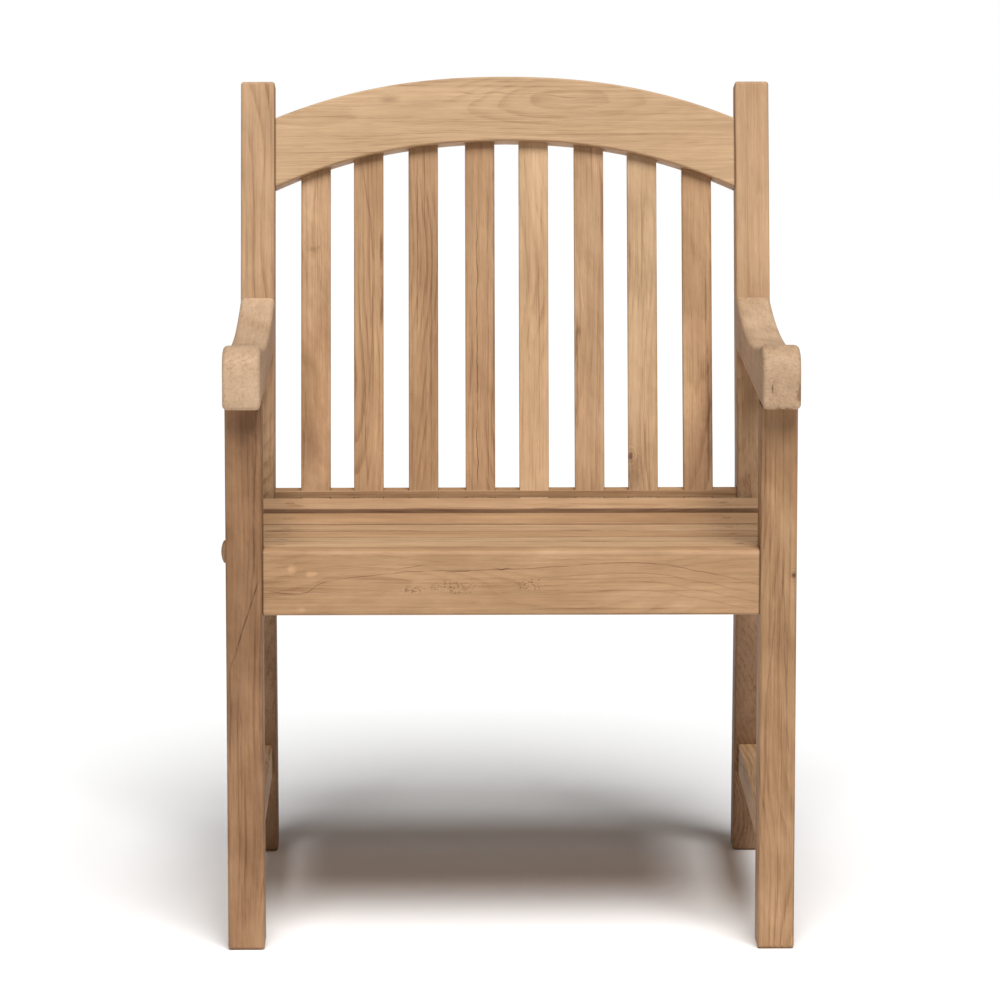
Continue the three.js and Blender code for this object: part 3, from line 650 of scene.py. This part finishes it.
def with_marks(tree, name, place, colour):
    """Draws a board's veins, knots, stains and pits, and the painted shade and highlights on its own
    rounded edges, at its joints and in a few spots.
    """
    # painted shade and painted highlights along the rounded edges
    edge_light_and_shade = add_node(tree, "ShaderNodeAttribute", attribute_name=ON_EDGE).outputs["Fac"]
    patchy = remap(tree, noise(tree, place, (4, 4, 30), 2.0), 0.3, 0.65, 0.35, 1.0)
    colour = marked(tree, colour, number(tree, "MULTIPLY", edge_light_and_shade, patchy), own(EDGE_SHADE_AND_HIGHLIGHT, name, OTHER_EDGE_SHADE))
    for *shape, depth in own(VEINS, name):
        vein = use_group(tree, "Vein", place, **dict(zip(VEIN_INPUTS, shape)))
        colour = marked(tree, colour, vein["Amount"], depth)
    for middle, size, ragged, core, depth in own(SPOTS, name):
        spot = use_group(tree, "Spot", place, Centre=middle, Size=size, Ragged=ragged, Core=core)
        colour = marked(tree, colour, spot["Amount"], depth)
        if core > KNOT_CORE:
            colour = marked(tree, colour, spot["Halo"], KNOT_RINGS * depth)
    for middle, size in own(PITS, name):
        spot = use_group(tree, "Spot", place, Centre=middle, Size=size, Ragged=1.6, Core=0.2)
        colour = marked(tree, colour, spot["Pits"], PIT_DEPTH)
    if name == "front_apron":
        course = apron_course(tree, place)
        for lower, width, depth, start in APRON_VEIN_ECHOES:
            across = number(tree, "ADD", course, lower)
            shape = {"Wander": 1.6, "Wave": 40, "Width": width, "From": start, "To": APRON_VEIN_END}
            vein = use_group(tree, "Vein", place, Across=across, **shape)
            colour = marked(tree, colour, vein["Amount"], depth)
    # painted shade in the joints and gaps, with some grime
    joint_shade = own(JOINT_SHADE_AND_DIRT, name)
    if joint_shade:
        axis, reach, depth = joint_shade
        away = add_node(tree, "ShaderNodeSeparateXYZ", {0: place}).outputs[axis]
        reach = number(tree, "SUBTRACT", number(tree, "ABSOLUTE", away), reach)
        colour = marked(tree, colour, remap(tree, reach, *JOINT_SHADE_FADE), depth)
    return colour


def teak_material(name, axes, centre):
    """Sanded teak, with the figure of one board, and the painted shade and highlights that with_marks
    draws.
    """
    tone, pith, figure, mottle = own(PLANKS, name)
    material = bpy.data.materials.new("sanded_teak_" + name)
    material.use_nodes = True
    tree = material.node_tree
    shader = tree.nodes["Principled BSDF"]
    coordinates = add_node(tree, "ShaderNodeTexCoord").outputs["Object"]
    turn = Matrix(axes)
    placed = add_node(tree, "ShaderNodeMapping", {"Vector": coordinates})
    placed.inputs["Rotation"].default_value = turn.to_euler()
    placed.inputs["Location"].default_value = -(turn @ centre)
    place = vector(tree, "DIVIDE", placed.outputs[0], (MM, MM, MM))
    grain = use_group(
        tree,
        "Teak grain",
        place,
        Shift=seed(name),
        Pith=(*pith, 0),
        Ring=settings("teak").ring / MM,
        Figure=figure,
        Mottle=mottle,
        Colour=(*linear(TONES[tone]), 1),
    )
    tree.links.new(with_marks(tree, name, place, grain["Colour"]), shader.inputs["Base Color"])
    rough = number(tree, "ADD", grain["Roughness"], settings("teak").roughness)
    tree.links.new(rough, shader.inputs["Roughness"])
    bump = {"Strength": 0.35, "Distance": 0.25 * MM, "Height": grain["Height"]}
    tree.links.new(add_node(tree, "ShaderNodeBump", bump).outputs[0], shader.inputs["Normal"])
    shader.inputs["Specular IOR Level"].default_value = 0.35
    return material


# ---- Boards -----------------------------------------------------------------------------


def copied(node):
    """A CAD node's mesh with its corners merged and each flat face whole."""
    mesh = bmesh.new()
    mesh.from_mesh(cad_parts[node].data)
    bmesh.ops.remove_doubles(mesh, verts=mesh.verts, dist=MERGE)
    bmesh.ops.dissolve_limit(mesh, angle_limit=FLAT, verts=mesh.verts, edges=mesh.edges)
    mesh.normal_update()
    return mesh


def middle_of(edge):
    """The point halfway along an edge."""
    return (edge.verts[0].co + edge.verts[1].co) / 2


def direction_of(edge):
    """The direction in which an edge runs."""
    return (edge.verts[1].co - edge.verts[0].co).normalized()


def outer_edges(mesh, across, slack=0.05 * MM):
    """The corners of a board's two broad faces, without those round its mortises."""
    levels = [vert.co.dot(across) for vert in mesh.verts]
    extremes = (min(levels), max(levels))
    tree = BVHTree.FromBMesh(mesh)
    chosen = []
    for edge in mesh.edges:
        if not sharp(edge):
            continue
        ends = [vert.co.dot(across) for vert in edge.verts]
        if not any(all(abs(end - level) < slack for end in ends) for level in extremes):
            continue
        wall = min(edge.link_faces, key=lambda face: abs(face.normal.dot(across)))
        broad = max(edge.link_faces, key=lambda face: abs(face.normal.dot(across)))
        start = middle_of(edge) + wall.normal * OFF_THE_WALL - broad.normal * BELOW_THE_FACE
        if tree.ray_cast(start, wall.normal, HOLE)[0] is None:
            chosen.append(edge)
    return chosen


def ease(mesh, edges, radius):
    """Rounds edges as sandpaper does, and marks how far round each edge a point is."""
    rounded = bmesh.ops.bevel(
        mesh,
        geom=edges,
        offset=radius,
        offset_type="OFFSET",
        affect="EDGES",
        segments=ROUNDING_STEPS,
        profile=0.5,
        material=-1,
        clamp_overlap=True,
    )
    strips = set(rounded["faces"])
    on_edge = mesh.verts.layers.float.new(ON_EDGE)
    for vert in rounded["verts"]:
        if vert.is_valid and all(face in strips for face in vert.link_faces):
            vert[on_edge] = 1.0


def finished(mesh, name, material, nodes):
    """Turns a bmesh into a piece that stands for its CAD nodes."""
    data = bpy.data.meshes.new(name)
    mesh.to_mesh(data)
    mesh.free()
    data.shade_smooth()
    data.set_sharp_from_angle(angle=HARD)
    data.materials.append(material)
    piece = bpy.data.objects.new(name, data)
    bpy.context.scene.collection.objects.link(piece)
    weighted = piece.modifiers.new("flat faces stay flat", "WEIGHTED_NORMAL")
    weighted.keep_sharp = True
    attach(piece, BODY)
    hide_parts(*nodes)
    return piece


def centre_of(node):
    """The middle of a CAD node's box."""
    low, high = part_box(node)
    return (low + high) / 2


def axes_of(across, along):
    """The board's own directions, as rows: across the face, through it, and with the grain."""
    return (across.cross(along), across, along)


def sharp(edge):
    """Whether an edge is an outer corner that sandpaper would reach."""
    return edge.is_manifold and edge.is_convex and edge.calc_face_angle() > HARD


def one_face_each_side(mesh, across):
    """Joins the facets of a gently bowed board's two broad faces."""
    seams = [
        edge
        for edge in mesh.edges
        if edge.is_manifold and all(abs(face.normal.dot(across)) > BROAD for face in edge.link_faces)
    ]
    bmesh.ops.dissolve_edges(mesh, edges=seams, use_verts=False)


def make_board(node, across, along, radius, eased, also=None, face=None, slack=0.05 * MM):
    """One board. eased says which of its outer edges are rounded, and also adds others.
    Its figure lies flat on face, or else on its broad face."""
    mesh = copied(node)
    one_face_each_side(mesh, across)
    edges = [edge for edge in outer_edges(mesh, across, slack) if eased(edge)]
    if also:
        edges += [edge for edge in mesh.edges if edge not in edges and sharp(edge) and also(edge)]
    ease(mesh, edges, radius)
    material = teak_material(node, axes_of(face or across, along), centre_of(node))
    return finished(mesh, node + "_board", material, [node])


def with_grain(along):
    """Picks the edges that run with the grain."""
    return lambda edge: abs(direction_of(edge).dot(along)) > ALONG


def every_edge(edge):
    """Picks them all."""
    return True


class ArmchairOperator:
    """What the operators share: each makes its pieces in build, and lets a failure through."""

    bl_options = {"REGISTER", "UNDO"}

    def execute(self, context):
        self.build()
        return {"FINISHED"}


class ARMCHAIR_OT_front_legs(ArmchairOperator, bpy.types.Operator):
    """Make the two straight front legs"""

    bl_idname = "armchair.front_legs"
    bl_label = "Front Legs"

    def build(self):
        for side in SIDES:
            node = "front_leg_" + side
            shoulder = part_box("arm_" + side)[0].z - 2 * MM

            def below_the_arm(edge):
                return middle_of(edge).z < shoulder

            make_board(node, X, Z, settings("edges").leg, below_the_arm, face=Y)


class ARMCHAIR_OT_rear_legs(ArmchairOperator, bpy.types.Operator):
    """Make the two rear legs, whose raked posts carry the back"""

    bl_idname = "armchair.rear_legs"
    bl_label = "Rear Legs"

    def build(self):
        for side in SIDES:
            node = "rear_leg_" + side
            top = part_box(node)[1].z - 12 * MM

            def at_the_top(edge):
                return middle_of(edge).z > top

            make_board(
                node,
                X,
                UP_THE_BACK,
                settings("edges").leg,
                every_edge,
                also=at_the_top,
                face=THROUGH_THE_BACK,
            )


class ARMCHAIR_OT_side_frames(ArmchairOperator, bpy.types.Operator):
    """Make the side rails, stretchers and seat bearers"""

    bl_idname = "armchair.side_frames"
    bl_label = "Side Rails, Stretchers and Bearers"

    def build(self):
        for side in SIDES:
            for part in ("side_rail_", "side_stretcher_", "seat_bearer_"):
                make_board(part + side, X, Y, settings("edges").rail, with_grain(Y))


class ARMCHAIR_OT_arms(ArmchairOperator, bpy.types.Operator):
    """Make the two dished arms with their scrolled fronts"""

    bl_idname = "armchair.arms"
    bl_label = "Arms"

    def build(self):
        for side in SIDES:
            node = "arm_" + side
            middle = centre_of(node).y
            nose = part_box(node)[0].y + 1 * MM

            def not_the_shoulder(edge):
                return middle_of(edge).y < middle or abs(direction_of(edge).z) < ALONG

            def under_the_nose(edge):
                return middle_of(edge).y < nose

            make_board(
                node,
                X,
                Y,
                settings("edges").arm,
                not_the_shoulder,
                also=under_the_nose,
                face=-Z,
                slack=1.6 * MM,
            )


class ARMCHAIR_OT_crest_rail(ArmchairOperator, bpy.types.Operator):
    """Make the arched rail at the top of the back"""

    bl_idname = "armchair.crest_rail"
    bl_label = "Crest Rail"

    def build(self):
        make_board("crest_rail", THROUGH_THE_BACK, X, settings("edges").crest, with_grain(X))


class ARMCHAIR_OT_back_slats(ArmchairOperator, bpy.types.Operator):
    """Make the eight back slats and the rail that they stand in"""

    bl_idname = "armchair.back_slats"
    bl_label = "Back Slats and Lower Back Rail"

    def build(self):
        edges = settings("edges")
        make_board("lower_back_rail", Y, X, edges.back_rail, with_grain(X))
        slats = sorted(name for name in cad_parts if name.startswith("back_slat_"))
        for node in slats:
            make_board(
                node,
                THROUGH_THE_BACK,
                UP_THE_BACK,
                edges.back_slat,
                with_grain(UP_THE_BACK),
            )


class ARMCHAIR_OT_front_apron(ArmchairOperator, bpy.types.Operator):
    """Make the apron under the seat's front edge"""

    bl_idname = "armchair.front_apron"
    bl_label = "Front Apron"

    def build(self):
        make_board("front_apron", Y, X, settings("edges").apron, with_grain(X))


def broad_normal(mesh):
    """The upward direction that most of a board's area faces."""
    areas = {}
    for face in mesh.faces:
        key = tuple(round(value, 3) for value in face.normal)
        areas.setdefault(key, [0.0, face.normal.copy()])[0] += face.calc_area()
    up = max((found for found in areas.values() if found[1].z > 0.5), key=lambda found: found[0])
    return up[1]


class ARMCHAIR_OT_seat_slats(ArmchairOperator, bpy.types.Operator):
    """Make the six seat slats with the plugs that hide their screws"""

    bl_idname = "armchair.seat_slats"
    bl_label = "Seat Slats and Plugs"

    def build(self):
        edges = settings("edges")
        slats = sorted(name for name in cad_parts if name.startswith("seat_slat_"))
        for node in slats:
            probe = copied(node)
            up = broad_normal(probe)
            probe.free()
            make_board(node, up, X, edges.seat_slat, every_edge)
            for side in SIDES:
                plug = f"slat_plug_{node.rsplit('_', 1)[1]}_{side}"
                make_board(plug, up, X, edges.plug, every_edge)


class ARMCHAIR_OT_leg_button(ArmchairOperator, bpy.types.Operator):
    """Turn the button on the left front leg"""

    bl_idname = "armchair.leg_button"
    bl_label = "Leg Button"

    def build(self):
        node = "leg_button"
        low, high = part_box(node)
        centre = (low + high) / 2
        rim = (high.z - low.z) / 2
        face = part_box("front_leg_left")[0].x - 0.3 * MM
        spigot = 6 * MM  # its radius
        # Half the section, from the spigot's end round the rim to the middle of the dome
        section = [
            (high.x, 0),
            (high.x, spigot),
            (face, spigot),
            (face, rim - 0.5 * MM),
            (face - 0.6 * MM, rim),
            (face - 1.6 * MM, rim),
            (face - 2.4 * MM, rim - 0.7 * MM),
            (low.x + 1.5 * MM, rim * 0.72),
            (low.x + 0.5 * MM, rim * 0.4),
            (low.x, 0),
        ]
        mesh = bmesh.new()
        verts = [mesh.verts.new((x, centre.y, centre.z + radius)) for x, radius in section]
        edges = [mesh.edges.new(pair) for pair in zip(verts, verts[1:])]
        bmesh.ops.spin(
            mesh,
            geom=verts + edges,
            cent=centre,
            axis=X,
            angle=math.tau,
            steps=40,
            use_merge=True,
        )
        bmesh.ops.remove_doubles(mesh, verts=mesh.verts, dist=MERGE)
        bmesh.ops.recalc_face_normals(mesh, faces=mesh.faces)
        material = teak_material(node, axes_of(X, Z), centre)
        finished(mesh, "leg_button_turned", material, [node])


def steel_material():
    """Stainless steel wood screws, as drawn and threaded: grey, bright, fine turning lines."""
    material = bpy.data.materials.new("stainless_screw_steel")
    material.use_nodes = True
    tree = material.node_tree
    shader = tree.nodes["Principled BSDF"]
    place = add_node(tree, "ShaderNodeTexCoord").outputs["Object"]
    place = vector(tree, "DIVIDE", place, (MM, MM, MM))
    lines = noise(tree, place, (3, 3, 0.25), 2.0)
    colour = mix(tree, "MIX", lines, (*linear("#A9ABAE"), 1), (*linear("#C9CBCD"), 1))
    tree.links.new(colour, shader.inputs["Base Color"])
    tree.links.new(remap(tree, lines, 0.2, 0.8, 0.25, 0.42), shader.inputs["Roughness"])
    shader.inputs["Metallic"].default_value = 1.0
    return material


class ARMCHAIR_OT_screws(ArmchairOperator, bpy.types.Operator):
    """Give the hidden screws their steel"""

    bl_idname = "armchair.screws"
    bl_label = "Screws"

    def build(self):
        material = steel_material()
        for name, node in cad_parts.items():
            if "_screw_" in name:
                node.data.materials.clear()
                node.data.materials.append(material)


# ---- Stage ------------------------------------------------------------------------------

DAYLIGHT_AIM = Vector((-0.12, 1, -1.75))
DAYLIGHT_SPREAD = math.radians(32)
SENSOR_WIDTH = 36  # millimetres, which the lens goes with


def floor_material():
    """Matt emulsion on a smooth floor: pale, with the faintest roller texture."""
    material = bpy.data.materials.new("pale_matt_floor")
    material.use_nodes = True
    tree = material.node_tree
    shader = tree.nodes["Principled BSDF"]
    place = vector(tree, "DIVIDE", add_node(tree, "ShaderNodeTexCoord").outputs["Object"], (MM, MM, MM))
    cloud = noise(tree, place, (600, 600, 600), 2.0)
    base = (*settings("stage").floor, 1)
    colour = mix(tree, "MULTIPLY", remap(tree, cloud, 0.3, 0.7, 0.0, 0.02), base, (0.9, 0.9, 0.9, 1))
    tree.links.new(colour, shader.inputs["Base Color"])
    shader.inputs["Roughness"].default_value = 0.9
    return material


def soft_light(name, strength):
    """Daylight through a large diffuser, so wide that its shadows have no edge."""
    data = bpy.data.lights.new(name, "SUN")
    data.energy = strength
    data.angle = DAYLIGHT_SPREAD
    lamp = bpy.data.objects.new(name, data)
    lamp.rotation_euler = DAYLIGHT_AIM.to_track_quat("-Z", "Y").to_euler()
    bpy.context.scene.collection.objects.link(lamp)


def white_room(strength):
    """A white background whose light on the chair is turned down, as by black flags."""
    world = bpy.data.worlds.new("white room")
    world.use_nodes = True
    tree = world.node_tree
    seen = add_node(tree, "ShaderNodeLightPath").outputs["Is Camera Ray"]
    tree.links.new(
        remap(tree, seen, 0.0, 1.0, strength, 1.0, smooth=False),
        tree.nodes["Background"].inputs["Strength"],
    )
    tree.nodes["Background"].inputs["Color"].default_value = (1, 1, 1, 1)
    bpy.context.scene.world = world


class ARMCHAIR_OT_stage(ArmchairOperator, bpy.types.Operator):
    """Lay the floor and set the lights and the camera"""

    bl_idname = "armchair.stage"
    bl_label = "Stage"

    def build(self):
        stage = settings("stage")
        mesh = bmesh.new()
        bmesh.ops.create_grid(mesh, x_segments=4, y_segments=4, size=stage.floor_size / 2)
        data = bpy.data.meshes.new("floor")
        mesh.to_mesh(data)
        mesh.free()
        data.materials.append(floor_material())
        floor = bpy.data.objects.new("floor", data)
        bpy.context.scene.collection.objects.link(floor)

        soft_light("soft daylight", stage.daylight)
        white_room(stage.room_light)
        bpy.context.scene.view_settings.view_transform = "Standard"

        data = bpy.data.cameras.new("camera")
        data.lens = stage.lens
        data.sensor_width = SENSOR_WIDTH
        camera = bpy.data.objects.new("camera", data)
        camera.location = stage.camera_place
        camera.rotation_euler = (math.pi / 2 - stage.camera_pitch, 0, -stage.camera_yaw)
        bpy.context.scene.collection.objects.link(camera)
        bpy.context.scene.camera = camera


# ---- Panel and registration -------------------------------------------------------------

PROPERTY_GROUPS = {
    "edges": ARMCHAIR_PG_edges,
    "teak": ARMCHAIR_PG_teak,
    "stage": ARMCHAIR_PG_stage,
}

OPERATORS = (
    ARMCHAIR_OT_stage,
    ARMCHAIR_OT_front_legs,
    ARMCHAIR_OT_rear_legs,
    ARMCHAIR_OT_side_frames,
    ARMCHAIR_OT_arms,
    ARMCHAIR_OT_crest_rail,
    ARMCHAIR_OT_back_slats,
    ARMCHAIR_OT_front_apron,
    ARMCHAIR_OT_seat_slats,
    ARMCHAIR_OT_leg_button,
    ARMCHAIR_OT_screws,
)


class ARMCHAIR_PT_main(bpy.types.Panel):
    """The armchair's pieces, in the order in which they are made"""

    bl_idname = "ARMCHAIR_PT_main"
    bl_label = "Teak Garden Armchair"
    bl_space_type = "VIEW_3D"
    bl_region_type = "UI"
    bl_category = "Armchair"

    def draw(self, context):
        for operator in OPERATORS:
            self.layout.operator(operator.bl_idname)
        for name, group in PROPERTY_GROUPS.items():
            box = self.layout.box()
            for key in group.__annotations__:
                box.prop(settings(name), key)


def register():
    for name, group in PROPERTY_GROUPS.items():
        bpy.utils.register_class(group)
        setattr(bpy.types.Scene, "armchair_" + name, bpy.props.PointerProperty(type=group))
    for operator in OPERATORS:
        bpy.utils.register_class(operator)
    bpy.utils.register_class(ARMCHAIR_PT_main)


def unregister():
    bpy.utils.unregister_class(ARMCHAIR_PT_main)
    for operator in reversed(OPERATORS):
        bpy.utils.unregister_class(operator)
    for name, group in reversed(PROPERTY_GROUPS.items()):
        delattr(bpy.types.Scene, "armchair_" + name)
        bpy.utils.unregister_class(group)


def main():
    register()
    grain_group()
    vein_group()
    spot_group()
    for operator in OPERATORS:
        _, verb = operator.bl_idname.split(".")
        getattr(bpy.ops.armchair, verb)()


if __name__ == "__main__":
    main()
